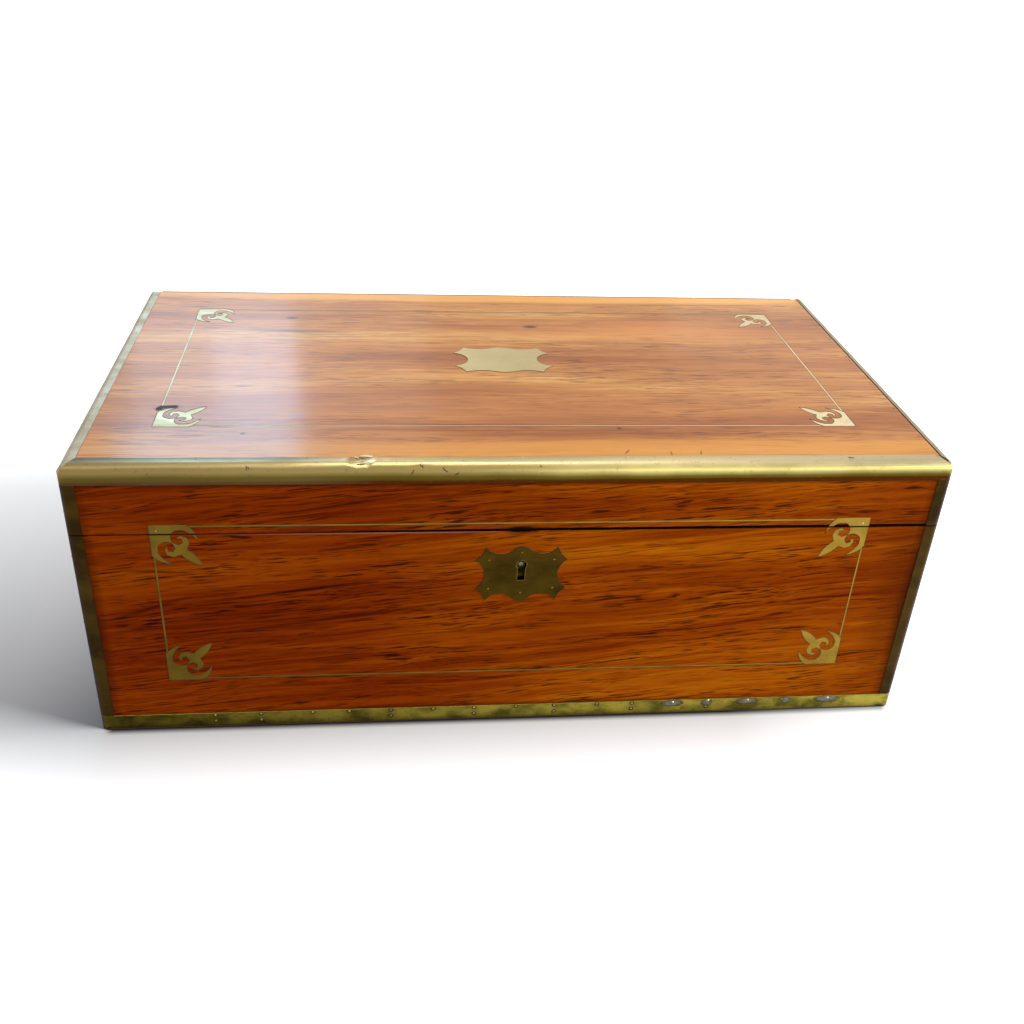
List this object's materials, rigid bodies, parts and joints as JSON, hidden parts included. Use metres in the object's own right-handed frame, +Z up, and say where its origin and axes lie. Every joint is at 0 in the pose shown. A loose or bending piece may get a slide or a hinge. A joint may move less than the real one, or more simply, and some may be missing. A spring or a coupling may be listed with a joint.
{
  "type": "writing slope",
  "caption": "Closed brass-bound wooden writing slope: sloping joint, hinged lid, scroll inlays, lock, flush handles, and leather-faced flaps over pen and ink places.",
  "frame": {"origin": "middle of the footprint, on the surface that the case stands on", "axes": "+Z up; -Y is the lock side, which is the front; +X to the right of a person facing the front"},
  "size_m": [0.512, 0.2895, 0.184],
  "materials": {
    "case_wood": "worn french polish",
    "interior_wood": "satin",
    "brass_edging": "aged, dented",
    "brass_inlay": "aged, worn",
    "brass_fittings": "aged",
    "steel": "dull",
    "leather": "satin",
    "glass": "clear"
  },
  "bodies": {
    "base": {"base_front_board": "case_wood", "base_right_board": "case_wood", "base_back_board": "case_wood", "base_left_board": "case_wood", "bottom_board": "interior_wood", "tray_rail": "interior_wood", "tray_dividers": "interior_wood", "ink_well_floors": "interior_wood", "pen_tray": "interior_wood", "ink_bottles": "glass", "ink_bottle_caps": "brass_fittings", "base_flap_ledgers": "interior_wood", "base_flap_rail": "interior_wood", "base_flap_hinge_leaves": "brass_fittings", "base_front_straps": "brass_edging", "base_back_straps": "brass_edging", "foot_edging_front": "brass_edging", "foot_edging_right": "brass_edging", "foot_edging_back": "brass_edging", "foot_edging_left": "brass_edging", "base_corner_inlays": "brass_inlay", "base_stringing": "brass_inlay", "escutcheon": "brass_inlay", "lock_case": "brass_fittings", "lock_cap_plate": "brass_fittings", "lock_selvedge": "brass_fittings", "lock_drill_pin": "steel", "base_hinge_leaves": "brass_fittings", "left_handle_plate": "brass_fittings", "right_handle_plate": "brass_fittings"},
    "bolt": {"lock_bolt": "steel"},
    "left_handle": {"left_handle_bail": "brass_fittings"},
    "right_handle": {"right_handle_bail": "brass_fittings"},
    "base_flap": {"base_flap_board": "interior_wood", "base_flap_leather": "leather", "base_flap_moving_leaves": "brass_fittings"},
    "lid": {"lid_front_board": "case_wood", "lid_right_board": "case_wood", "lid_back_board": "case_wood", "lid_left_board": "case_wood", "lid_top_board": "case_wood", "lid_front_nosing": "brass_edging", "lid_end_edging": "brass_edging", "lid_front_straps": "brass_edging", "lid_back_straps": "brass_edging", "lid_corner_inlays": "brass_inlay", "lid_stringing": "brass_inlay", "top_corner_inlays": "brass_inlay", "top_stringing": "brass_inlay", "name_plate": "brass_inlay", "link_plate": "brass_fittings", "lid_hinge_leaves": "brass_fittings", "lid_flap_ledgers": "interior_wood", "lid_flap_rail": "interior_wood", "lid_flap_hinge_leaves": "brass_fittings"},
    "lid_flap": {"lid_flap_board": "interior_wood", "lid_flap_leather": "leather", "lid_flap_moving_leaves": "brass_fittings"}
  },
  "joints": [
    {"name": "lid_hinge", "type": "hinge", "parent": "base", "child": "lid", "pos_m": [0, 0.1435, 0.092], "axis": [-1, 0, 0], "range_deg": [0, 180]},
    {"name": "base_flap_hinge", "type": "hinge", "parent": "base", "child": "base_flap", "pos_m": [0, 0.11639, 0.09513], "axis": [-1, 0, 0], "range_deg": [0, 72]},
    {"name": "lid_flap_hinge", "type": "hinge", "parent": "lid", "child": "lid_flap", "pos_m": [0, 0.11694, 0.09828], "axis": [1, 0, 0], "range_deg": [0, 72]},
    {"name": "right_handle_swing", "type": "hinge", "parent": "base", "child": "right_handle", "pos_m": [0.2524, 0, 0.065], "axis": [0, -1, 0], "range_deg": [0, 90]},
    {"name": "left_handle_swing", "type": "hinge", "parent": "base", "child": "left_handle", "pos_m": [-0.2524, 0, 0.065], "axis": [0, 1, 0], "range_deg": [0, 90]},
    {"name": "lock_bolt_slide", "type": "slide", "parent": "base", "child": "bolt", "axis": [-1, 0, 0], "range_m": [0, 0.004]}
  ],
  "couplings": [
    {"joint": "base_flap_hinge", "follows": "lid_hinge", "ratio": 0.4},
    {"joint": "lid_flap_hinge", "follows": "lid_hinge", "ratio": 0.4}
  ]
}
